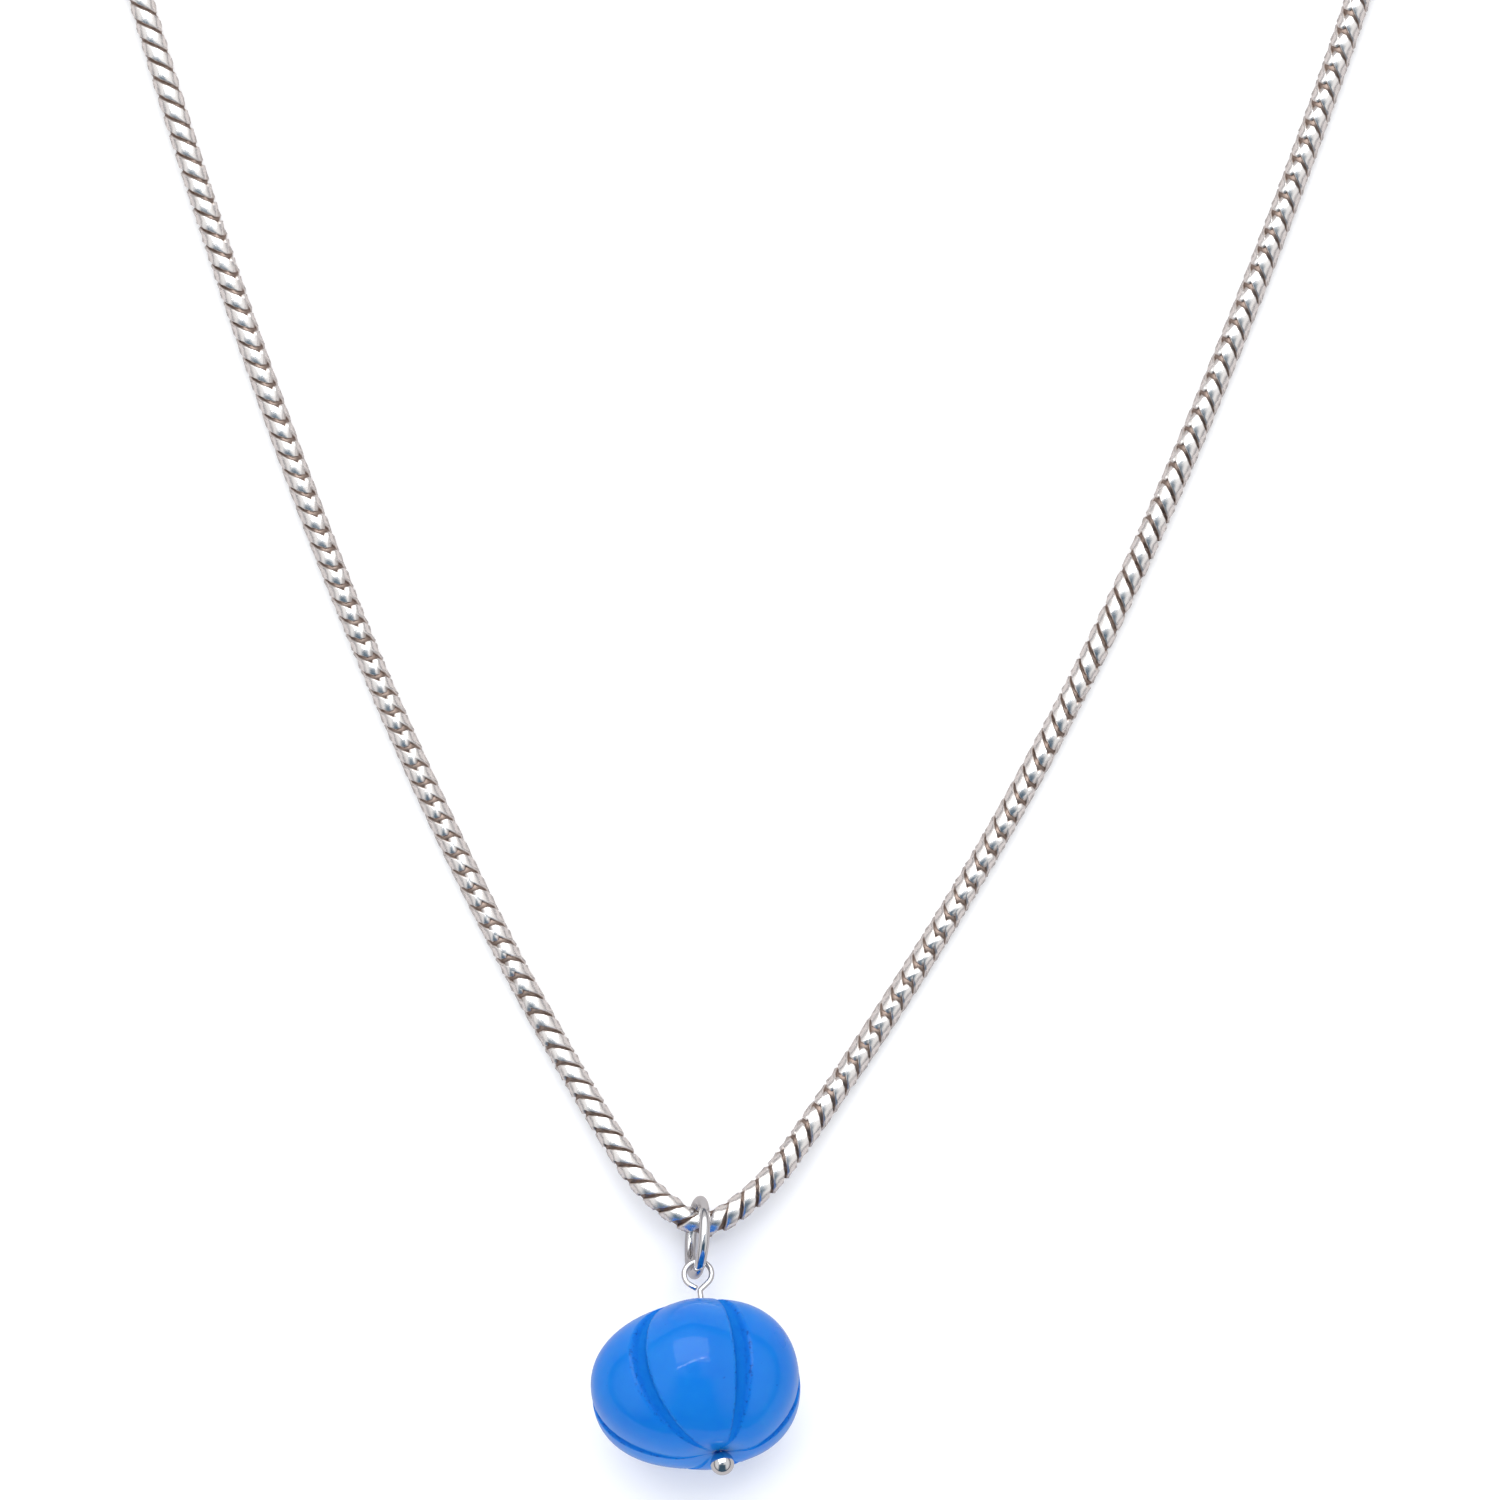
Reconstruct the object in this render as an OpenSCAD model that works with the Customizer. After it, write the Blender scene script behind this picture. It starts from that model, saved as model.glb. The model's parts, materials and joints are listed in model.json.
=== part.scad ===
// Pendant necklace: a silver snake chain with a carved melon bead on a ball-ended head pin.
// It lies flat with its clasp undone. +Z is up, and the origin is under the middle of the piece.

/* [Chain] */
// Outside diameter of the snake chain
chain_d = 2.66; // [2.5:0.02:2.7]
// Distance between the two pivots of one link
link_pitch = 1.94; // [1.9:0.01:1.96]
// Radius of the ball at the front of a link
ball_r = 1.5; // [1.46:0.01:1.52]
// Play between a ball and the socket of the next link
link_play = 0.05; // [0.03:0.01:0.08]
// How far the bail lifts the chain off the table
bail_lift = 2.32; // [2.2:0.02:2.4]

/* [Bail] */
// Outside radius of the jump ring that carries the pendant
bail_r = 4.2; // [4.1:0.05:4.3]
// Wire diameter of that ring
bail_wire = 1.1; // [1:0.05:1.15]
// Turn of the ring away from edge-on, in degrees
bail_turn = 10.5; // [8:0.5:12]
// Lean of the ring across the table, in degrees
bail_lean = 5; // [3:1:7]
// Width of the sawn slit in the ring
bail_slit = 0.12; // [0.08:0.02:0.2]

/* [Head pin] */
// Wire diameter of the head pin
pin_wire = 0.55; // [0.5:0.01:0.6]
// Centreline radius of the turned eye
eye_r = 1.375; // [1.35:0.005:1.4]
// Distance from the eye's centre to the ball's centre
pin_length = 20.5; // [20.3:0.05:20.7]
// Diameter of the ball at the foot of the pin
pin_ball_d = 2.4; // [2.2:0.05:2.5]
// Rise of the pin towards its ball, in degrees
pin_tilt = 24; // [22:1:26]
// Swing of the pin across the table, in degrees
pin_roll = 7.5; // [5:0.5:10]

/* [Bead] */
// Radius of the bead over the crest of a lobe
bead_r = 11; // [10.6:0.05:11.2]
// Half height of the bead along its pin
bead_half = 8.1; // [7.9:0.05:8.2]
// Number of carved lobes
lobes = 6; // [6]
// Depth of a carved groove as a share of the radius
groove_depth = 0.08; // [0.05:0.01:0.1]
// Rounding of a lobe towards its grooves as a share of the radius
lobe_round = 0.055; // [0.03:0.005:0.07]
// Radius of the drilled hole
bore_r = 0.36; // [0.34:0.01:0.37]

/* [End fittings] */
// Outside diameter of an end cap
cap_d = 3.4; // [3.3:0.05:3.5]
// Depth of an end cap over the last links
cap_depth = 4; // [3.5:0.1:4.5]
// Wire diameter of the small rings and loops
ring_wire = 0.7; // [0.6:0.05:0.75]
// Outside radius of the rings that join the caps to the clasp and its ring
link_ring_r = 2.1; // [2.05:0.01:2.15]
// Inside radius of the ring that the clasp hooks into
end_ring_bore = 1.9; // [1.8:0.05:2]
// Thickness of the clasp
clasp_t = 2.4; // [2.2:0.1:2.6]

/* [Hidden] */
$fn = 48;
sheet_gap = 0.02;
slack = 0.1;
segments = 13;
segment_links = 8;
half_centre = segment_links / 2;
strand_links = half_centre + segments * segment_links;

// Each strand's bends from the bail outwards, as a number of links and the turn at each in degrees
left_bends = [[2, 19.1], [4, 6.1], [14, 0.4], [24, 0.27], [27, 0.15], [14, 3.45], [20, 3.2], [3, 0]];
right_bends = [[2, 14.7], [4, 4.9], [14, 0.3], [24, 0.33], [33, 0.19], [12, 5.45], [16, 2.3], [3, 0]];
chain_heading = 5;

chain_r = chain_d / 2;
lifted_links = 14;
end_rise_links = 10;
end_z = cap_d / 2;
socket_r = ball_r + link_play;

function smooth(t) = (1 - cos(180 * min(max(t, 0), 1))) / 2;
function bail_bump(k) = bail_lift * smooth(1 - k / lifted_links);
function end_ramp(k) = (end_z - chain_r) * smooth((k - strand_links + end_rise_links + 4) / end_rise_links);
function pivot_z(k) = chain_r + bail_bump(k) + end_ramp(k);

// Running sums of a list
function running(v, i = 0, total = 0) =
    [for (i = 0, total = v[0]; i < len(v); i = i + 1, total = i < len(v) ? total + v[i] : total) total];
function turns(bends) = [for (b = bends) for (i = [1 : b[0]]) b[1]];
function headings(bends, start, side) = [for (t = running(turns(bends))) start + side * t];
function steps(bends, start, side) =
    let (h = headings(bends, start, side))
    [for (k = [0 : len(h) - 1])
        let (dz = pivot_z(k + 1) - pivot_z(k))
        let (run = sqrt(link_pitch * link_pitch - dz * dz))
        [run * cos(h[k]), run * sin(h[k]), dz]];
function pivots(bends, start, side) =
    concat([[0, 0, pivot_z(0)]], [for (s = running(steps(bends, start, side))) s + [0, 0, pivot_z(0)]]);

left_pivots = pivots(left_bends, 180 + chain_heading, -1);
right_pivots = pivots(right_bends, chain_heading, 1);
left_end = left_pivots[strand_links];
right_end = right_pivots[strand_links];
left_end_heading = headings(left_bends, 180 + chain_heading, -1)[strand_links - 1];
right_end_heading = headings(right_bends, chain_heading, 1)[strand_links - 1];

// The pendant's places, from the chain's pivot inside the bail
bail_centre = [-0.85, -1.35, (bail_r - bail_wire / 2) * cos(bail_turn) + bail_wire / 2 + sheet_gap];
bead_station = 11.75;
bead_offset = [-1.65, -0.3];
bead_z = norm([bead_r * cos(pin_tilt), bead_half * sin(pin_tilt)]) + sheet_gap;
eye_z = bead_z - bead_offset[1] * cos(pin_tilt) - bead_station * sin(pin_tilt);
eye_centre = [-0.8, -4.95, eye_z];

// The middle of the piece on the table
all_x = [for (p = concat(left_pivots, right_pivots)) p[0]];
all_y = [for (p = concat(left_pivots, right_pivots)) p[1]];
pendant_low = eye_centre[1] - pin_length * cos(pin_tilt) - 0.8;
middle = [(min(all_x) + max(all_x)) / 2, (max(all_y) + chain_r + pendant_low) / 2, 0];

// Stations along an end fitting, from the last pivot of a strand
cap_floor = 1.6;
cap_wall = 0.5;
cap_bore_r = chain_r + 0.09;
loop_r = 1.2;
loop_station = cap_floor + cap_wall + 1.35;
ring_station = loop_station + link_ring_r - ring_wire / 2 - 0.2;
clasp_station = ring_station + link_ring_r - ring_wire / 2 + 0.1;
end_ring_wall = 0.7;
end_eye_bore = 0.85;
end_eye_wall = 0.45;
end_eye_station = clasp_station;
end_ring_station = end_eye_station + end_eye_bore + end_eye_wall + end_ring_bore + end_ring_wall - 0.3;

// Places inside the clasp, from the centre of its eye
hook_x = 7.5;
hook_r = 2.7;
hook_inner_r = 1.5;
pivot_at = [3.9, 0.9];
rivet_r = 0.3;
lever_t = 1;
slot_t = 1.7;
slot_floor = -0.9;
gate_r = 2.1;
gate_w = 0.9;
gate_reach = 4.5;

function two(n) = n < 10 ? str("0", n) : str(n);
function left_name(s) = str("chain_left_", two(s));
function right_name(s) = str("chain_right_", two(s));
PENDANT = ["bail_ring", "head_pin", "pumpkin_bead", "chain_centre"];
FITTINGS = ["end_cap_left", "link_ring_left", "clasp_body", "clasp_lever", "clasp_rivet", "clasp_spring",
    "end_cap_right", "link_ring_right", "end_ring"];

module on_table() {
    translate(-middle) children();
}

// Turns local +Z along the line from one point to the next
module between(from, to) {
    d = to - from;
    translate(from) rotate([0, acos(d[2] / norm(d)), atan2(d[1], d[0])]) children();
}

// One link: a ball in front, a socket behind, and a round barrel between them
module chain_link() {
    rotate_extrude()
        difference() {
            intersection() {
                translate([0, link_pitch]) circle(r = ball_r);
                square([chain_r, link_pitch + 2 * ball_r]);
            }
            circle(r = socket_r);
        }
}

module left_links(first, last) {
    for (k = [first : last]) between(left_pivots[k + 1], left_pivots[k]) chain_link();
}

module right_links(first, last) {
    for (k = [first : last]) between(right_pivots[k], right_pivots[k + 1]) chain_link();
}

function first_link(s) = half_centre + (s - 1) * segment_links;

module chain_centre() {
    color("silver") on_table() {
        left_links(0, half_centre - 1);
        right_links(0, half_centre - 1);
    }
}

module chain_left(s) {
    color("silver") on_table() left_links(first_link(s), first_link(s) + segment_links - 1);
}

module chain_right(s) {
    color("silver") on_table() right_links(first_link(s), first_link(s) + segment_links - 1);
}

// A round-wire ring in the XY plane
module wire_ring(middle_r, wire, angle = 360) {
    rotate_extrude(angle = angle) translate([middle_r, 0]) circle(d = wire);
}

module bail_ring() {
    slit_angle = bail_slit / bail_r * 180 / PI;
    color("gainsboro") on_table() translate(bail_centre)
        rotate([0, 0, -bail_lean]) rotate([0, bail_turn, 0]) rotate([0, 90, 0])
            rotate([0, 0, 60]) wire_ring(bail_r - bail_wire / 2, bail_wire, 360 - slit_angle);
}

// Pin frame: +Z runs from the eye to the ball, +X to the right, +Y up and away from the table
module on_pin() {
    on_table() translate(eye_centre) rotate([90 - pin_tilt, 0, pin_roll]) children();
}

module head_pin() {
    color("gainsboro") on_pin() {
        union() {
            rotate([90, 0, 0]) wire_ring(eye_r, pin_wire);
            translate([0, 0, eye_r]) cylinder(d = pin_wire, h = pin_length - eye_r);
            translate([0, 0, pin_length]) sphere(d = pin_ball_d);
        }
    }
}

// Share of the full radius at an angle round the bead
function to_groove(a) = abs(((a + 360) % (360 / lobes)) - 180 / lobes);
function lobe_share(a) =
    1 - lobe_round * (1 - cos(lobes * a)) / 2 - groove_depth * exp(-pow(to_groove(a) / 7, 2));
function dimple(t) = (t < 0 ? 0.04 : 0.1) * exp(-pow(cos(t) / 0.22, 2));
function bead_point(a, t) = [
    cos(t) * (bead_offset[0] + bead_r * lobe_share(a) * sin(a)),
    cos(t) * (bead_offset[1] + bead_r * lobe_share(a) * cos(a)),
    bead_station + bead_half * sin(t) * (1 - dimple(t))];

module carved_bead() {
    around = 72;
    rows = 25;
    reach = acos(0.075);
    points = [for (j = [0 : rows - 1]) for (i = [0 : around - 1])
        bead_point(i * 360 / around, reach * (2 * j / (rows - 1) - 1))];
    sides = [for (j = [0 : rows - 2]) for (i = [0 : around - 1])
        let (a = j * around + i, b = j * around + (i + 1) % around)
        each [[a, b, b + around], [a, b + around, a + around]]];
    near_end = [for (i = [0 : around - 1]) around - 1 - i];
    far_end = [for (i = [0 : around - 1]) (rows - 1) * around + i];
    polyhedron(points, concat(sides, [near_end, far_end]), convexity = 6);
}

module pumpkin_bead() {
    color("dodgerblue") on_pin()
        difference() {
            carved_bead();
            translate([0, 0, bead_station - 2 * bead_half]) cylinder(r = bore_r, h = 4 * bead_half);
        }
}

// Fitting frame: origin at a strand's last pivot, +X along the strand's end
module at_left_end() {
    on_table() translate(left_end) rotate([0, 0, left_end_heading]) children();
}

module at_right_end() {
    on_table() translate(right_end) rotate([0, 0, right_end_heading]) children();
}

module end_cap() {
    union() {
        rotate([0, 90, 0]) difference() {
            translate([0, 0, cap_floor - cap_depth]) cylinder(d = cap_d, h = cap_depth + cap_wall);
            translate([0, 0, cap_floor - cap_depth - 1]) cylinder(r = cap_bore_r, h = cap_depth + 1);
        }
        translate([loop_station, 0, 0]) wire_ring(loop_r, ring_wire);
    }
}

module link_ring() {
    translate([ring_station, 0, link_ring_r - end_z + sheet_gap])
        rotate([90, 0, 0]) wire_ring(link_ring_r - ring_wire / 2, ring_wire);
}

module end_cap_left() {
    color("silver") at_left_end() end_cap();
}

module end_cap_right() {
    color("silver") at_right_end() end_cap();
}

module link_ring_left() {
    color("gainsboro") at_left_end() link_ring();
}

module link_ring_right() {
    color("gainsboro") at_right_end() link_ring();
}

// A flat ring with broken outer edges
module flat_ring(bore, wall) {
    half = ring_wire / 2;
    edge = 0.2;
    rotate_extrude()
        translate([bore, 0])
            polygon([[0, -half], [wall - edge, -half], [wall, -half + edge], [wall, half - edge],
                [wall - edge, half], [0, half]]);
}

// The ring that the clasp hooks into, cast in one with the small eye that hangs it
module end_ring() {
    color("gainsboro") at_right_end()
        union() {
            translate([end_ring_station, 0, 0]) flat_ring(end_ring_bore, end_ring_wall);
            translate([end_eye_station, 0, 0]) flat_ring(end_eye_bore, end_eye_wall);
        }
}

module at_clasp() {
    at_left_end() translate([clasp_station, 0, 0]) children();
}

module slab(t) {
    translate([0, 0, -t / 2]) linear_extrude(t) children();
}

module clasp_outline() {
    difference() {
        union() {
            translate([1.3, -1.7]) square([5.2, 3.4]);
            translate([hook_x, 0]) circle(r = hook_r);
        }
        translate([hook_x, 0]) circle(r = hook_inner_r);
        translate([hook_x, 0]) polygon([[0, 0], [4.2, 5], [-2.6, 5], [-2.6, 1.2]]);
    }
}

module clasp_body() {
    color("silver") at_clasp()
        difference() {
            union() {
                wire_ring(loop_r, 0.8);
                slab(clasp_t) clasp_outline();
            }
            translate([2.5, slot_floor, -slot_t / 2]) cube([3.9, 5, slot_t]);
            translate([pivot_at[0], pivot_at[1], -clasp_t]) cylinder(r = rivet_r, h = 2 * clasp_t);
        }
}

// The gate: an eye on the rivet, an arm to the hook's nose and a thumb tab
module lever_outline() {
    difference() {
        union() {
            translate(pivot_at) circle(r = 0.75);
            translate([pivot_at[0], pivot_at[1] + 0.15]) square([1.7, 0.6]);
            translate([pivot_at[0] - 0.3, pivot_at[1] + 0.3]) square([0.9, 1.5]);
            intersection() {
                translate([hook_x, 0]) difference() {
                    circle(r = gate_r + gate_w / 2);
                    circle(r = gate_r - gate_w / 2);
                }
                translate([hook_x, 0]) polygon([[0, 0], [4.6, 1.75], [4.6, 5], [-2.6, 5], [-2.6, 0.4]]);
                translate(pivot_at) circle(r = gate_reach);
            }
        }
        translate(pivot_at) circle(r = rivet_r + 0.04);
    }
}

module clasp_lever() {
    color("silver") at_clasp() slab(lever_t) lever_outline();
}

module clasp_rivet() {
    color("silver") at_clasp() translate([pivot_at[0], pivot_at[1], -clasp_t / 2])
        cylinder(r = rivet_r, h = clasp_t);
}

// A torsion spring's coil beside the lever, with the leg that bears on the body
module clasp_spring() {
    coil_t = (slot_t - lever_t) / 2 - 0.08;
    color("gray") at_clasp() translate([pivot_at[0], pivot_at[1], lever_t / 2 + 0.04])
        linear_extrude(coil_t) difference() {
            union() {
                circle(r = 0.65);
                translate([-1.2, -0.65]) square([1.2, 0.25]);
            }
            circle(r = rivet_r + 0.05);
        }
}

bail_ring();
head_pin();
pumpkin_bead();
chain_centre();
for (s = [1 : segments]) chain_left(s);
for (s = [1 : segments]) chain_right(s);
end_cap_left();
link_ring_left();
clasp_body();
clasp_lever();
clasp_rivet();
clasp_spring();
end_cap_right();
link_ring_right();
end_ring();
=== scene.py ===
"""Pendant necklace: a silver snake chain, a jump ring as its bail, and a carved melon bead on a head pin."""

import json
import math

import bmesh
import bpy
from mathutils import Matrix, Vector


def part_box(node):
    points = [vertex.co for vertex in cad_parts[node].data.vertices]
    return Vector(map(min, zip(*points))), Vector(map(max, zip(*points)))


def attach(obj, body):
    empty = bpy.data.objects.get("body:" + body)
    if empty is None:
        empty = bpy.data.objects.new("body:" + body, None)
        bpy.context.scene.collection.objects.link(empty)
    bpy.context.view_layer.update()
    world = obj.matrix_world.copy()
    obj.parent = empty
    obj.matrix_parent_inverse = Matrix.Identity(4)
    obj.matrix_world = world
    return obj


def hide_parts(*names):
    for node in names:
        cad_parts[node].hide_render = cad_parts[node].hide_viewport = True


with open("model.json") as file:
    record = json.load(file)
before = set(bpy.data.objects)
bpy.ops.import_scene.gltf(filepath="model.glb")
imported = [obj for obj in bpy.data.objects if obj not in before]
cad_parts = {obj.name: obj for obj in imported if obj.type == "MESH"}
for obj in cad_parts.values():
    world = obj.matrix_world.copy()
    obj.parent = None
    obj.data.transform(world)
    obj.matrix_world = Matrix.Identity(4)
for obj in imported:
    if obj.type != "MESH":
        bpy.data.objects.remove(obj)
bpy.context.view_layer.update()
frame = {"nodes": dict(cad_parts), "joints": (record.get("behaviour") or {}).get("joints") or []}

MM = 0.001
UP = Vector((0, 0, 1))
WELD = 0.001 * MM

# The chain, in millimetres and degrees. Each bend is a count of links and the turn of each one
CHAIN_R = 1.33
LINK_PITCH = 1.94
BAIL_LIFT = 2.32
LIFTED_LINKS = 14
END_Z = 1.7
END_RISE_LINKS = 10
LEVEL_LINKS = 4
HALF_CENTRE = 4
SEGMENT_LINKS = 8
STRAND_LINKS = 108
LEFT_BENDS = [(2, 19.1), (4, 6.1), (14, 0.4), (24, 0.27), (27, 0.15), (14, 3.45), (20, 3.2), (3, 0)]
RIGHT_BENDS = [(2, 14.7), (4, 4.9), (14, 0.3), (24, 0.33), (33, 0.19), (12, 5.45), (16, 2.3), (3, 0)]
CHAIN_HEADING = 5
# The slow twist of the chain: a link counted from the bail, and the seam's turn from the top there
LEFT_TWIST = [(0, -95), (5, -80), (8, -68), (12, -55), (15, -33), (19, -8), (26, 4), (31, 13), (36, 24),
              (42, 38), (53, 50), (60, 70), (67, 88), (108, 95)]
RIGHT_TWIST = [(0, 85), (6, 62), (11, 10), (14, 3), (17, -8), (20, -14), (29, -40), (37, -80), (45, -130),
               (49, -135), (63, -152), (108, -155)]

joint_at = {joint["name"]: Vector(joint["pos_m"]) for joint in frame["joints"]}
joint_axis = {joint["name"]: Vector(joint["axis"]).normalized() for joint in frame["joints"]}


# ---------------------------------------------------------------- modelling helpers

def start(add, **settings):
    """Adds a primitive and leaves it alone selected, with its place in its mesh."""
    bpy.ops.object.select_all(action="DESELECT")
    add(**settings)
    bpy.ops.object.transform_apply(location=True, rotation=True, scale=True)
    return bpy.context.object


def select_only(*pieces):
    """Selects these pieces alone and makes the first one active."""
    bpy.ops.object.select_all(action="DESELECT")
    for piece in pieces:
        piece.select_set(True)
    bpy.context.view_layer.objects.active = pieces[0]


def edit(piece):
    """Opens the piece in edit mode with all of it selected."""
    select_only(piece)
    bpy.ops.object.mode_set(mode="EDIT")
    bpy.ops.mesh.select_all(action="SELECT")


def done():
    bpy.ops.object.mode_set(mode="OBJECT")


def pick(piece, kind, wanted):
    """Selects the VERT, EDGE or FACE elements of the piece in edit mode that are wanted."""
    bpy.ops.mesh.select_mode(type=kind)
    bpy.ops.mesh.select_all(action="DESELECT")
    mesh = bmesh.from_edit_mesh(piece.data)
    for element in {"VERT": mesh.verts, "EDGE": mesh.edges, "FACE": mesh.faces}[kind]:
        if wanted(element):
            element.select_set(True)
    mesh.select_flush_mode()
    bmesh.update_edit_mesh(piece.data)


def face_outwards():
    """Welds the mesh that is being edited and turns its faces outwards."""
    bpy.ops.mesh.select_all(action="SELECT")
    bpy.ops.mesh.remove_doubles(threshold=WELD)
    bpy.ops.mesh.normals_make_consistent(inside=False)


def modify(piece, kind, **settings):
    """Adds a modifier with these settings and applies it."""
    select_only(piece)
    modifier = piece.modifiers.new(kind.lower(), kind)
    for name, value in settings.items():
        setattr(modifier, name, value)
    bpy.ops.object.modifier_apply(modifier=modifier.name)


def place(piece, matrix):
    """Moves a piece and keeps its place in its mesh."""
    select_only(piece)
    piece.matrix_world = matrix
    bpy.ops.object.transform_apply(location=True, rotation=True, scale=True)
    return piece


def join(*pieces):
    select_only(*pieces)
    bpy.ops.object.join()
    return bpy.context.object


def smooth(piece, degrees=None):
    """Shades a piece smooth, but for edges sharper than an angle if one is given."""
    select_only(piece)
    if degrees is None:
        bpy.ops.object.shade_smooth()
    else:
        bpy.ops.object.shade_smooth_by_angle(angle=math.radians(degrees))


def paint(piece, name, value_at):
    """Stores a number at each vertex for a material to read."""
    layer = piece.data.attributes.new(name, "FLOAT", "POINT")
    for item, vertex in zip(layer.data, piece.data.vertices):
        item.value = value_at(vertex.co)


def fit(piece, name, body, slot, material, *nodes):
    """Names a finished piece and sets it in the frame in place of its CAD nodes."""
    piece.name = name
    piece.data.name = name
    piece.data.materials.clear()
    piece.data.materials.append(material)
    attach(piece, body)
    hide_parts(*nodes)


def axes(origin, x, y, z):
    """The matrix that puts a piece modelled at the origin along three directions."""
    matrix = Matrix((x, y, z)).transposed().to_4x4()
    matrix.translation = origin
    return matrix


def turn(degrees, axis):
    return Matrix.Rotation(math.radians(degrees), 4, axis)


def round_wire(sides, thickness, centre, facing):
    """An open ring of edges that is the section of a round wire, facing Y or Z."""
    rotation = (math.pi / 2, 0, 0) if facing == "Y" else (0, 0, 0)
    wire = start(bpy.ops.mesh.primitive_circle_add, vertices=sides, radius=thickness / 2,
                 location=centre, rotation=rotation)
    edit(wire)
    return wire


SAWN_EDGE = 0.06 * MM


def close_ends(piece, sides):
    """Closes the sawn ends of a wire and takes off their sharp edge."""
    bpy.ops.mesh.select_all(action="SELECT")
    bpy.ops.mesh.fill_holes(sides=sides)
    face_outwards()
    pick(piece, "EDGE", lambda edge: any(len(face.verts) == sides for face in edge.link_faces))
    bpy.ops.mesh.bevel(offset=SAWN_EDGE, segments=2)


def wire_ring(middle_r, thickness, sweep=360, sides=20, steps=72):
    """A ring of round wire about Z from +X on, closed or with a sawn gap."""
    ring = round_wire(sides, thickness, (middle_r, 0, 0), "Y")
    bpy.ops.mesh.spin(steps=steps, angle=math.radians(sweep), center=(0, 0, 0), axis=(0, 0, -1))
    if sweep < 360:
        close_ends(ring, sides)
    face_outwards()
    done()
    smooth(ring, 60)
    return ring


def turned(profile, sides):
    """A part turned about Z: each step extrudes the last face to the next station and radius."""
    station, radius = profile[0]
    part = start(bpy.ops.mesh.primitive_circle_add, vertices=sides, radius=radius, fill_type="NGON",
                 location=(0, 0, station))
    edit(part)
    for next_station, next_radius in profile[1:]:
        bpy.ops.mesh.extrude_region_move(
            TRANSFORM_OT_translate={"value": (0, 0, next_station - station)})
        share = next_radius / radius
        bpy.ops.transform.resize(value=(share, share, 1), center_override=(0, 0, next_station))
        station, radius = next_station, next_radius
    face_outwards()
    done()
    return part


def softened(node, width):
    """A copy of a CAD node with its edges broken."""
    piece = frame["nodes"][node].copy()
    piece.data = piece.data.copy()
    for key in list(piece.keys()):
        del piece[key]
    piece.parent = None
    bpy.context.scene.collection.objects.link(piece)
    edit(piece)
    bpy.ops.mesh.remove_doubles(threshold=WELD)
    bpy.ops.mesh.dissolve_limited(angle_limit=math.radians(0.5))
    done()
    modify(piece, "BEVEL", width=width, segments=2, limit_method="ANGLE", angle_limit=math.radians(40))
    smooth(piece, 35)
    return piece


# ---------------------------------------------------------------- materials

class Shade:
    """An output of a shader node, which can be used in sums."""

    def __init__(self, tree, socket):
        self.tree = tree
        self.socket = socket

    def node(self, kind, inputs, settings=(), stops=(), output=0):
        """Any other node: its settings first, then the values or links of its sockets."""
        node = self.tree.nodes.new("ShaderNode" + kind)
        for name, value in dict(settings).items():
            setattr(node, name, value)
        for number, (position, colour) in enumerate(stops):
            ramp = node.color_ramp.elements
            stop = ramp[number] if number < len(ramp) else ramp.new(position)
            stop.position = position
            stop.color = (*colour, 1)
        for name, value in inputs.items():
            if isinstance(value, Shade):
                self.tree.links.new(value.socket, node.inputs[name])
            else:
                node.inputs[name].default_value = value
        return Shade(self.tree, node.outputs[output])

    def maths(self, operation, first, second=0.0, clamp=False):
        return self.node("Math", {0: first, 1: second}, {"operation": operation, "use_clamp": clamp})

    def __add__(self, other):
        return self.maths("ADD", self, other)

    __radd__ = __add__

    def __sub__(self, other):
        return self.maths("SUBTRACT", self, other)

    def __rsub__(self, other):
        return self.maths("SUBTRACT", other, self)

    def __mul__(self, other):
        return self.maths("MULTIPLY", self, other)

    __rmul__ = __mul__

    def clamped(self):
        return self.maths("ADD", self, 0.0, clamp=True)

    def noise(self, scale, detail=2.0, roughness=0.5, distortion=0.0):
        return self.node("TexNoise", {"Vector": self, "Scale": scale, "Detail": detail,
                                      "Roughness": roughness, "Distortion": distortion})

    def mix(self, low, high):
        """A colour between two, by this share."""
        mixed = self.node("Mix", {}, {"data_type": "RGBA"}, output=2)
        for socket, colour in ((6, low), (7, high)):
            if isinstance(colour, Shade):
                self.tree.links.new(colour.socket, mixed.socket.node.inputs[socket])
            else:
                mixed.socket.node.inputs[socket].default_value = (*colour, 1)
        self.tree.links.new(self.socket, mixed.socket.node.inputs[0])
        return mixed

    def bump(self, strength, distance):
        return self.node("Bump", {"Height": self, "Strength": strength, "Distance": distance})


def material(name, fixed):
    """A new material, with constants on its shader. Returns it, its shader and its place coordinate."""
    made = bpy.data.materials.new(name)
    made.use_nodes = True
    tree = made.node_tree
    shader = tree.nodes["Principled BSDF"]
    for socket, value in fixed.items():
        shader.inputs[socket].default_value = value
    coordinates = tree.nodes.new("ShaderNodeTexCoord")
    return made, shader, Shade(tree, coordinates.outputs["Object"])


def feed(shader, **inputs):
    for name, value in inputs.items():
        value.tree.links.new(value.socket, shader.inputs[name.replace("_", " ")])


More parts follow.
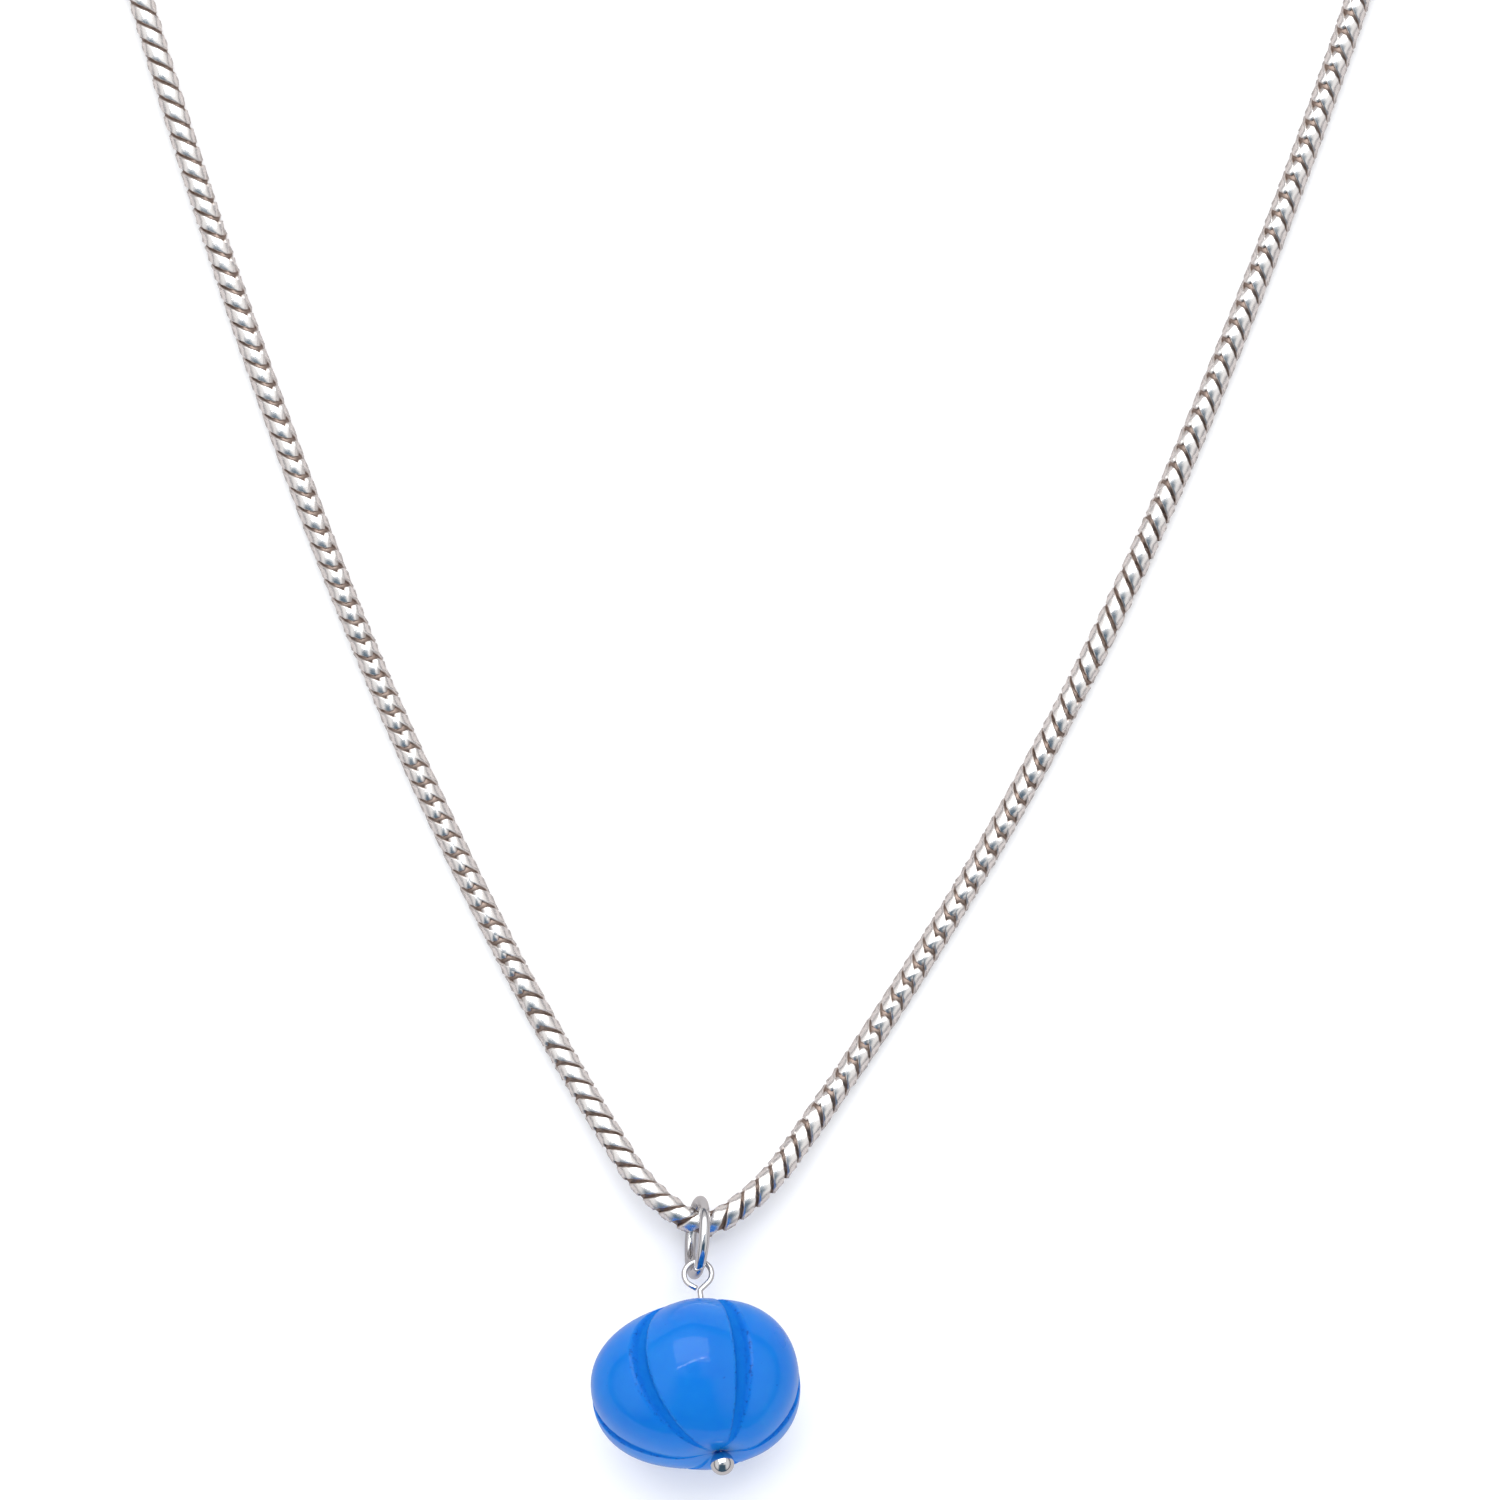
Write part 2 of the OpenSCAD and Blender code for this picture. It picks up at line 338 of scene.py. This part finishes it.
def chain_silver():
    """Worn silver: bright crowns, warm flanks, and dark tarnished silver mixed with painted shade down in the
    seams and on the core.
    """
    made, shader, where = material("chain_silver_worn", {"Metallic": 1.0})
    crown = where.node("Attribute", {}, {"attribute_name": "crown"}, output="Fac")
    wear = where.noise(1400, 3)
    grain = where.noise(5200, 2)
    height = (crown * 1.25 + wear * 0.3 - 0.2).clamped()
    # Darker and browner the lower the surface lies: partly tarnished silver, partly painted shade in the
    # seams and on the core inside the links.
    tarnish_and_shade = height.node("ValToRGB", {"Fac": height}, stops=[
        (0.0, (0.09, 0.062, 0.052)), (0.3, (0.36, 0.28, 0.24)), (0.55, (0.70, 0.635, 0.595)),
        (0.8, (0.87, 0.85, 0.835))])
    feed(shader, Base_Color=tarnish_and_shade, Roughness=(0.2 + wear * 0.14 + (1 - height) * 0.25),
         Normal=(grain + wear * 2.0).bump(0.35, 0.012 * MM))
    return made


def bright_silver():
    """Polished silver wire with fine handling marks."""
    made, shader, where = material("bright_silver_polished", {"Metallic": 1.0})
    marks = where.noise(2600, 4, distortion=1.5)
    haze = where.noise(420, 2)
    feed(shader, Base_Color=haze.mix((0.56, 0.575, 0.60), (0.72, 0.72, 0.735)),
         Roughness=(0.045 + haze * 0.07 + marks * 0.03), Normal=marks.bump(0.12, 0.008 * MM))
    return made


def spring_steel():
    """Drawn spring wire with a dull grain."""
    made, shader, where = material("spring_steel_wire", {"Metallic": 1.0})
    grain = where.noise(3800, 3)
    feed(shader, Base_Color=grain.mix((0.34, 0.34, 0.35), (0.55, 0.55, 0.56)),
         Roughness=(0.28 + grain * 0.15), Normal=grain.bump(0.2, 0.01 * MM))
    return made


def blue_stone():
    """Translucent dyed stone: milky clouds, polished lobes, and grooves cut by grinding, with painted shade
    darkening their floors and a dark line, partly painted shade and partly chips, along their chipped edges.
    """
    made, shader, where = material("blue_stone_translucent", {
        "Subsurface Weight": 0.5, "Subsurface Radius": (0.2, 0.7, 1.6), "Subsurface Scale": 2.0 * MM,
        "IOR": 1.5, "Specular IOR Level": 0.04, "Coat Roughness": 0.05, "Coat IOR": 1.5})
    groove = where.node("Attribute", {}, {"attribute_name": "groove"}, output="Fac")
    rim = where.node("Attribute", {}, {"attribute_name": "rim"}, output="Fac")
    milk = where.noise(130, 3, 0.55)
    vein = where.noise(480, 4, 0.6, 0.6)
    chips = where.noise(2600, 3, 0.65)
    specks = where.noise(1500, 2, 0.5)
    pits = (chips * 7.0 - 3.7).clamped()
    body = (milk * 2.2 - 0.6).clamped().mix((0.002, 0.145, 0.57), (0.009, 0.19, 0.62))
    veined = (vein * 3.0 - 1.45).clamped().mix(body, (0.006, 0.170, 0.59))
    # Painted shade: the groove floors are painted a darker blue.
    groove_floor_shaded = (groove * 0.5).mix(veined, (0.002, 0.120, 0.53))
    speckled = (specks * 14.0 - 10.2).clamped().mix(groove_floor_shaded, (0.004, 0.10, 0.45))
    # A dark line along each groove's edge: partly painted shade on the groove wall, partly chips, darkest
    # where the pits are.
    edged = (rim * (0.12 + pits * 0.88) * 0.85).clamped().mix(speckled, (0.003, 0.035, 0.22))
    feed(shader, Base_Color=edged, Roughness=(0.25 + groove * 0.4 + milk * 0.08),
         Coat_Weight=(0.44 - groove * 0.44).clamped(),
         Normal=(chips * (0.04 + groove * 0.8 + rim * 1.4) + vein * 0.1).bump(0.4, 0.05 * MM))
    return made


def floor_paper():
    """White paper that glows a little, and that the metal mirrors darker than it is."""
    made, shader, where = material("floor_paper", {
        "Specular IOR Level": 0.15, "Emission Color": (1, 1, 1, 1), "Emission Strength": 0.1})
    fibre = where.noise(900, 3)
    mirrored = where.node("LightPath", {}, output="Is Glossy Ray")
    paper = fibre.mix((0.90, 0.90, 0.905), (0.93, 0.93, 0.935))
    feed(shader, Base_Color=mirrored.mix(paper, (0.50, 0.46, 0.45)), Roughness=(0.85 + fibre * 0.1))
    return made


CHAIN_SILVER = chain_silver()
BRIGHT_SILVER = bright_silver()
BLUE_STONE = blue_stone()
SPRING_STEEL = spring_steel()


# ---------------------------------------------------------------- snake chain

def ease(share):
    return (1 - math.cos(math.pi * min(max(share, 0), 1))) / 2


def pivot_height(k):
    """Height of the k-th pivot from the bail: lifted by the ring, and by the cap at the far end."""
    end_share = (k - STRAND_LINKS + END_RISE_LINKS + LEVEL_LINKS) / END_RISE_LINKS
    return CHAIN_R + BAIL_LIFT * ease(1 - k / LIFTED_LINKS) + (END_Z - CHAIN_R) * ease(end_share)


def strand(bends, heading, side):
    """The pivots of one strand, from the bail outwards, in millimetres."""
    points = [Vector((0, 0, pivot_height(0)))]
    for angle in [angle for links, angle in bends for _ in range(links)]:
        heading += side * angle
        rise = pivot_height(len(points)) - points[-1].z
        run = math.sqrt(LINK_PITCH ** 2 - rise ** 2)
        way = math.radians(heading)
        points.append(points[-1] + Vector((run * math.cos(way), run * math.sin(way), rise)))
    return points


def route_shift(left):
    """From the bail's own origin to the middle of the whole necklace, in millimetres."""
    return joint_at["left_link_01"] / MM - left[HALF_CENTRE]


def twist_at(stations, k):
    """The seam's turn at link k, in even steps between the stations."""
    for (first, low), (last, high) in zip(stations, stations[1:]):
        if k <= last:
            return low + (high - low) * (k - first) / (last - first)
    return stations[-1][1]


def lobe():
    """One leaf-shaped lobe of a link, wrapped half round the chain on its -Y side."""
    length, width, depth, sides = 2.95 * MM, 0.775 * MM, 0.40 * MM, 8
    crown_wider, crown_deeper = 1.75, 1.08
    # Bands along the leaf: from and to, as shares of its length, and how much wider and deeper each is
    bands = [(-0.99, -0.85, 1.35, 1.55), (-0.85, -0.6, 1.34, 1.3), (-0.6, -0.3, 1.07, 1.08),
             (0.3, 0.6, 1.07, 1.08), (0.6, 0.85, 1.28, 1.28), (0.85, 0.99, 0.95, 1.5)]
    pitches_climbed = 1.5
    leaf = start(bpy.ops.mesh.primitive_uv_sphere_add, segments=sides, ring_count=sides, radius=1)
    edit(leaf)
    bpy.ops.transform.rotate(value=math.radians(180 / sides), orient_axis="Z", center_override=(0, 0, 0))
    bpy.ops.transform.resize(value=(width, depth, length), center_override=(0, 0, 0))
    pick(leaf, "VERT", lambda vertex: abs(vertex.co.x) / width < -vertex.co.y / depth)
    bpy.ops.transform.resize(value=(crown_wider, crown_deeper, 1), center_override=(0, 0, 0))
    for low, high, wider, deeper in bands:
        pick(leaf, "VERT", lambda vertex: low * length < vertex.co.z < high * length)
        bpy.ops.transform.resize(value=(wider, deeper, 1), center_override=(0, 0, 0))
    done()
    slant = math.degrees(math.atan(pitches_climbed * LINK_PITCH / (math.pi * CHAIN_R)))
    place(leaf, Matrix.Translation((0, depth, 0)) @ turn(90 + slant, "Y"))
    modify(leaf, "SIMPLE_DEFORM", deform_method="BEND", deform_axis="Z",
           angle=leaf.dimensions.x / (CHAIN_R * MM))
    place(leaf, Matrix.Translation((0, -CHAIN_R * MM, 0)))
    return leaf


def link():
    """One link along Z with its middle at the origin: two lobes, half a turn apart, on a straight eight-sided
    core.
    """
    first = lobe()
    second = lobe()
    place(second, turn(180, "Z"))
    half = LINK_PITCH / 2 * MM
    core_r, core_half, core_sides = 1.06 * MM, 1.05 * half, 8
    core = turned([(-core_half, core_r), (core_half, core_r)], core_sides)
    made = join(first, second, core)
    smooth(made)
    modify(made, "WEIGHTED_NORMAL", weight=80)
    deep, high = 0.98 * MM, CHAIN_R * MM
    # Each vertex's height off the chain's middle, which the chain's material paints dark low down: tarnished
    # silver and painted shade in the seams and on the core.
    paint(made, "crown", lambda co: min(max((math.hypot(co.x, co.y) - deep) / (high - deep), 0), 1))
    return made


def link_matrix(rear, front, seam):
    """Sets a link between two pivots, with its seam turned from the top by an angle."""
    along = (front - rear).normalized()
    across = UP.cross(along).normalized()
    top = along.cross(across)
    way = math.radians(seam)
    towards_seam = math.cos(way) * top + math.sin(way) * across
    return axes((rear + front) / 2, towards_seam, along.cross(towards_seam), along)


def snake_chain():
    """Copies the link along both strands and joins the links that move together."""
    left = strand(LEFT_BENDS, 180 + CHAIN_HEADING, -1)
    right = strand(RIGHT_BENDS, CHAIN_HEADING, 1)
    shift = route_shift(left)
    pattern = link()
    groups = {}
    for side, pivots, twist in (("left", left, LEFT_TWIST), ("right", right, RIGHT_TWIST)):
        for k in range(STRAND_LINKS):
            segment = (k - HALF_CENTRE) // SEGMENT_LINKS + 1
            name = f"chain_{side}_{segment:02d}" if segment > 0 else "chain_centre"
            ends = (pivots[k + 1], pivots[k]) if side == "left" else (pivots[k], pivots[k + 1])
            rear, front = ((point + shift) * MM for point in ends)
            copy = pattern.copy()
            copy.data = pattern.data.copy()
            copy.data.transform(link_matrix(rear, front, twist_at(twist, k)))
            bpy.context.scene.collection.objects.link(copy)
            groups.setdefault(name, []).append(copy)
    for name, links in groups.items():
        fit(join(*links), name.replace("chain", "snake_links"), name, "chain_silver", CHAIN_SILVER, name)
    bpy.data.objects.remove(pattern)


# ---------------------------------------------------------------- bail, head pin and bead

def bail():
    """A jump ring of round wire with a sawn slit, leaning as it hangs on the chain."""
    low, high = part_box("bail_ring")
    ring_r, thickness, slit = 3.65, 1.1, 0.12
    lean, twist, slit_at = -5, 10.5, 60
    gap = math.degrees(slit / ring_r)
    ring = wire_ring(ring_r * MM, thickness * MM, 360 - gap, sides=28, steps=120)
    lie = turn(lean, "Z") @ turn(twist, "Y") @ turn(90, "Y") @ turn(slit_at, "Z")
    place(ring, Matrix.Translation((low + high) / 2) @ lie)
    fit(ring, "bail_jump_ring", "bail", "bright_silver", BRIGHT_SILVER, "bail_ring")


def pin_axes():
    """The pin's own directions: X to the right, Y up from the table, Z from the eye to the ball."""
    along = joint_axis["bead_spin"]
    front = joint_axis["pin_swing"]
    return axes(joint_at["pin_swing"], front.cross(along), front, along)


def head_pin():
    """One wire: a ball, a straight shank, and an eye turned back to a point on the shank."""
    sides, wire, eye_r, point, bend_r, shank = 16, 0.55, 1.375, 1.75, 0.4, 20.5
    cut_short = 0.38
    lean = math.asin(eye_r / point)
    straight = math.sqrt(point ** 2 - eye_r ** 2)
    bend_start = point + bend_r * math.tan(lean / 2)
    pin = round_wire(sides, wire * MM, (0, 0, shank * MM), "Z")
    bpy.ops.mesh.extrude_region_move(TRANSFORM_OT_translate={"value": (0, 0, (bend_start - shank) * MM)})
    bpy.ops.mesh.spin(steps=8, angle=lean, center=(bend_r * MM, 0, bend_start * MM), axis=(0, 1, 0))
    way = Vector((math.sin(lean), 0, -math.cos(lean)))
    first_run = straight - bend_r * math.tan(lean / 2)
    bpy.ops.mesh.extrude_region_move(TRANSFORM_OT_translate={"value": way * first_run * MM})
    bpy.ops.mesh.spin(steps=44, angle=math.pi + 2 * lean, center=(0, 0, 0), axis=(0, -1, 0))
    back = Vector((math.sin(lean), 0, math.cos(lean)))
    bpy.ops.mesh.extrude_region_move(TRANSFORM_OT_translate={"value": back * (straight - cut_short) * MM})
    close_ends(pin, sides)
    face_outwards()
    done()
    smooth(pin, 60)
    ball_r = 1.195 * MM
    ball = turned([(shank * MM + ball_r * math.sin(math.radians(row)), ball_r * math.cos(math.radians(row)))
                   for row in range(-84, 85, 7)], 40)
    smooth(ball, 60)
    pin = place(join(pin, ball), pin_axes())
    fit(pin, "head_pin_wire", "pin", "bright_silver", BRIGHT_SILVER, "head_pin")


def bead():
    """A melon bead: a ball pressed flat, its lobes cut by six grooves made by grinding, drilled off its
    middle.
    """
    bead_r, half, station, bore = 10.99, 8.1, 11.75, 0.36
    lobes, groove_depth, roundness = 6, 0.062, 0.055
    offset = Vector((-1.65, -0.3, 0))
    around, rows = 180, 56
    sector, step = 360 / lobes, 360 / around
    last_column = int(sector / 2 / step)
    # Columns of vertices near a groove, and how far from it they are moved, so that its walls are steep
    moved = {1: 1.9, 2: 3.6, 3: 4.7, 4: 6.9}
    floor_columns = 3
    # How far each end is sunk, as a share of the half height, and what share of that each row sinks by
    ends = [(1, 0.065), (-1, 0.04)]
    sinking = [(1, 1.0), (2, 0.94), (3, 0.78), (4, 0.55), (5, 0.3), (6, 0.12)]
    row_gap, end_gap = 0.02 * MM, 0.01 * MM
    # Degrees from the middle of a groove: its floor, made by grinding and painted darker as shade, its
    # chipped edge, with a dark line of painted shade along it, and the end of the chips
    floor_end, floor_fade = 5.2, 1.0
    edge_at, edge_width = 4.7, 1.6
    chip_end, chip_fade = 7.5, 2.5
    stone = start(bpy.ops.mesh.primitive_uv_sphere_add, segments=around, ring_count=rows, radius=1)
    edit(stone)
    bpy.ops.transform.resize(value=(bead_r * MM, bead_r * MM, half * MM), center_override=(0, 0, 0))

    def from_groove(co):
        """Signed angle from the nearest groove."""
        return math.degrees(math.atan2(co.x, co.y)) % sector - sector / 2

    for column in range(last_column + 1):
        away = moved.get(column, column * step)
        rounding = roundness * (1 + math.cos(math.radians(lobes * away))) / 2
        share = 1 - rounding - (groove_depth if column < floor_columns else 0)
        for side in (1,) if column in (0, last_column) else (-1, 1):
            here = side * column * step
            pick(stone, "VERT", lambda vertex: abs(
                (from_groove(vertex.co) - here + sector / 2) % sector - sector / 2) < step / 4)
            bpy.ops.transform.resize(value=(share, share, 1), center_override=(0, 0, 0))
            if column in moved:
                bpy.ops.transform.rotate(value=math.radians(side * (away - column * step)), orient_axis="Z",
                                         center_override=(0, 0, 0))

    for row in range(1, rows):
        angle = math.pi * row / rows - math.pi / 2
        level = half * math.sin(angle) * MM
        pick(stone, "VERT", lambda vertex: abs(vertex.co.z - level) < row_gap)
        bpy.ops.transform.translate(value=offset * math.cos(angle) * MM)

    pick(stone, "VERT", lambda vertex: abs(vertex.co.z) > 0.9999 * half * MM)
    bpy.ops.mesh.delete(type="VERT")
    for end, sunk in ends:
        for row, reach in sinking:
            level = end * half * math.cos(math.pi * row / rows) * MM
            pick(stone, "VERT", lambda vertex: abs(vertex.co.z - level) < end_gap)
            bpy.ops.transform.translate(value=(0, 0, -end * sunk * reach * half * MM))
    pick(stone, "EDGE", lambda edge: edge.is_boundary)
    bpy.ops.mesh.extrude_region_move(TRANSFORM_OT_translate={"value": (0, 0, 0)})
    for end in (1, -1):
        pick(stone, "VERT", lambda vertex: vertex.is_boundary and vertex.co.z * end > 0)
        middle = sum((v.co for v in bmesh.from_edit_mesh(stone.data).verts if v.select), Vector()) / around
        bpy.ops.transform.translate(value=(-middle.x, -middle.y, 0))
        ring_r = bead_r * math.sin(math.pi / rows)
        bpy.ops.transform.resize(value=(bore / ring_r, bore / ring_r, 1), center_override=(0, 0, middle.z))
    pick(stone, "EDGE", lambda edge: edge.is_boundary)
    bpy.ops.mesh.bridge_edge_loops()
    face_outwards()
    done()

    def away_from_groove(co):
        level = min(abs(co.z) / (half * MM), 1)
        shift = offset * math.sqrt(1 - level ** 2) * MM
        return abs(from_groove(co - shift))

    # The groove and rim values, which the stone's material paints darker: painted shade in the groove floors,
    # and a dark line of painted shade and chips along the edges.
    paint(stone, "groove", lambda co: ease((floor_end - away_from_groove(co)) / floor_fade))
    paint(stone, "rim", lambda co: max(0, 1 - abs(away_from_groove(co) - edge_at) / edge_width))
    chip = stone.vertex_groups.new(name="chipped")
    for vertex in stone.data.vertices:
        away = away_from_groove(vertex.co)
        chip.add([vertex.index], ease((chip_end - away) / chip_fade), "REPLACE")
    modify(stone, "SUBSURF", levels=1, render_levels=1)
    grit = bpy.data.textures.new("grit", "CLOUDS")
    grit.noise_scale = 0.5 * MM
    grit.noise_depth = 3
    modify(stone, "DISPLACE", texture=grit, texture_coords="LOCAL", vertex_group="chipped", mid_level=0.5,
           strength=-0.16 * MM)
    smooth(stone)
    place(stone, pin_axes() @ Matrix.Translation((0, 0, station * MM)))
    fit(stone, "melon_bead_stone", "bead", "blue_stone", BLUE_STONE, "pumpkin_bead")


# ---------------------------------------------------------------- end fittings

def end_axes(side):
    """A strand's end: Z runs on along the chain, from the middle of the cap's loop."""
    loop = joint_at[f"link_ring_{side}_swing"]
    nxt = joint_at["clasp_swing" if side == "left" else "end_ring_tip"]
    along = Vector((nxt.x - loop.x, nxt.y - loop.y, 0)).normalized()
    return axes(loop, UP, along.cross(UP), along)


def end_cap(side):
    """A turned cap with rolled rims, and a wire loop soldered to its floor."""
    back, floor, outer, inner = -5.85, -1.35, 1.7, 1.42
    loop_r, wire = 1.2, 0.7
    # Stations and radii: over the floor, down the outside with its two beaded bands, and up the bore
    stations = [(floor, 0.9), (floor, 1.35), (floor - 0.12, 1.58), (floor - 0.3, outer), (floor - 0.6, outer),
                (floor - 0.7, 1.6), (floor - 0.85, 1.6), (floor - 0.95, outer), (back + 1.0, outer),
                (back + 0.9, 1.6), (back + 0.75, 1.6), (back + 0.65, outer), (back + 0.14, outer),
                (back, 1.62), (back, inner + 0.05), (back + 0.1, inner), (floor - 0.5, inner)]
    cap = turned([(station * MM, radius * MM) for station, radius in stations], 48)
    smooth(cap, 40)
    loop = wire_ring(loop_r * MM, wire * MM, sides=16, steps=48)
    place(loop, turn(90, "Y"))
    cap = place(join(cap, loop), end_axes(side))
    fit(cap, f"end_cap_{side}_turned", f"chain_{side}_13", "bright_silver", BRIGHT_SILVER, f"end_cap_{side}")


def link_ring(side):
    """A soldered ring of round wire, standing in the cap's loop."""
    node = f"link_ring_{side}"
    low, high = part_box(node)
    ring_r, wire = 1.75, 0.7
    ring = wire_ring(ring_r * MM, wire * MM, sides=16, steps=64)
    stand = end_axes(side)
    stand.translation = (low + high) / 2
    place(ring, stand @ turn(90, "X"))
    fit(ring, f"{node}_wire", node, "bright_silver", BRIGHT_SILVER, node)


def clasp_and_ring():
    """The clasp and the end ring with broken edges, and the spring as it is."""
    for node, body, width in (("clasp_body", "clasp", 0.16), ("clasp_lever", "lever", 0.12),
                              ("clasp_rivet", "clasp", 0.05), ("end_ring", "end_ring", 0.06)):
        fit(softened(node, width * MM), f"{node}_polished", body, "bright_silver", BRIGHT_SILVER, node)
    frame["nodes"]["clasp_spring"].data.materials.clear()
    frame["nodes"]["clasp_spring"].data.materials.append(SPRING_STEEL)


# ---------------------------------------------------------------- studio

# Name, size, power, place, and whether the metal mirrors it
LIGHTS = [("soft_box", (1.2, 0.84), 6.5, (-0.05, 0.49, 0.755), True),
          ("edge_strip", (1.1, 0.03), 1.1, (-0.05, 0.115, 0.90), True),
          ("fill_box", (1.0, 1.0), 4.6, (0.0, -0.80, 0.40), False)]


def studio():
    """A white floor in a pale light tent that has a dark card at the bead's end, and three soft lights."""
    floor = start(bpy.ops.mesh.primitive_plane_add, size=6)
    floor.name = "floor"
    floor.data.materials.append(floor_paper())
    world = bpy.data.worlds.new("light_tent")
    bpy.context.scene.world = world
    world.use_nodes = True
    tree = world.node_tree
    way = Shade(tree, tree.nodes.new("ShaderNodeTexCoord").outputs["Generated"])
    height = way.node("SeparateXYZ", {"Vector": way}, output="Z")
    forward = way.node("SeparateXYZ", {"Vector": way}, output="Y")
    tent = height.node("ValToRGB", {"Fac": height}, stops=[
        (0.0, (0.16, 0.18, 0.22)), (0.12, (0.20, 0.21, 0.24)), (0.26, (0.78, 0.73, 0.71)),
        (0.5, (1.0, 0.99, 0.99)), (0.95, (1.0, 1.0, 1.0)), (0.985, (0.30, 0.38, 0.46))])
    sideways = way.node("SeparateXYZ", {"Vector": way}, output="X")
    aside = sideways.maths("ABSOLUTE", sideways)
    card = ((0 - forward - 0.08) * 5).clamped() * ((0.66 - aside) * 4).clamped()
    around = card.mix(tent, (0.07, 0.13, 0.19))
    tree.links.new(around.socket, tree.nodes["Background"].inputs["Color"])
    tree.nodes["Background"].inputs["Strength"].default_value = 0.95
    for name, size, power, place_at, glossy in LIGHTS:
        light = bpy.data.lights.new(name, "AREA")
        light.shape = "RECTANGLE"
        light.size, light.size_y = size
        light.energy = power
        lamp = bpy.data.objects.new(name, light)
        lamp.location = place_at
        lamp.rotation_euler = (-Vector(place_at)).to_track_quat("-Z", "Y").to_euler()
        lamp.visible_camera = False
        lamp.visible_glossy = glossy
        bpy.context.scene.collection.objects.link(lamp)


def camera():
    """Straight down with a long lens, and a view 150 mm wide at the table."""
    lens = bpy.data.cameras.new("camera")
    distance, width = 2.0, 0.150
    from_bail_x, from_bail_y = 4.4, 47.3
    lens.lens = lens.sensor_width * distance / width
    eye = bpy.data.objects.new("camera", lens)
    shift = route_shift(strand(LEFT_BENDS, 180 + CHAIN_HEADING, -1))
    eye.location = ((from_bail_x + shift.x) * MM, (from_bail_y + shift.y) * MM, distance)
    bpy.context.scene.collection.objects.link(eye)
    bpy.context.scene.camera = eye
    bpy.context.scene.view_settings.view_transform = "Standard"


snake_chain()
bail()
head_pin()
bead()
for side in ("left", "right"):
    end_cap(side)
    link_ring(side)
clasp_and_ring()
studio()
camera()
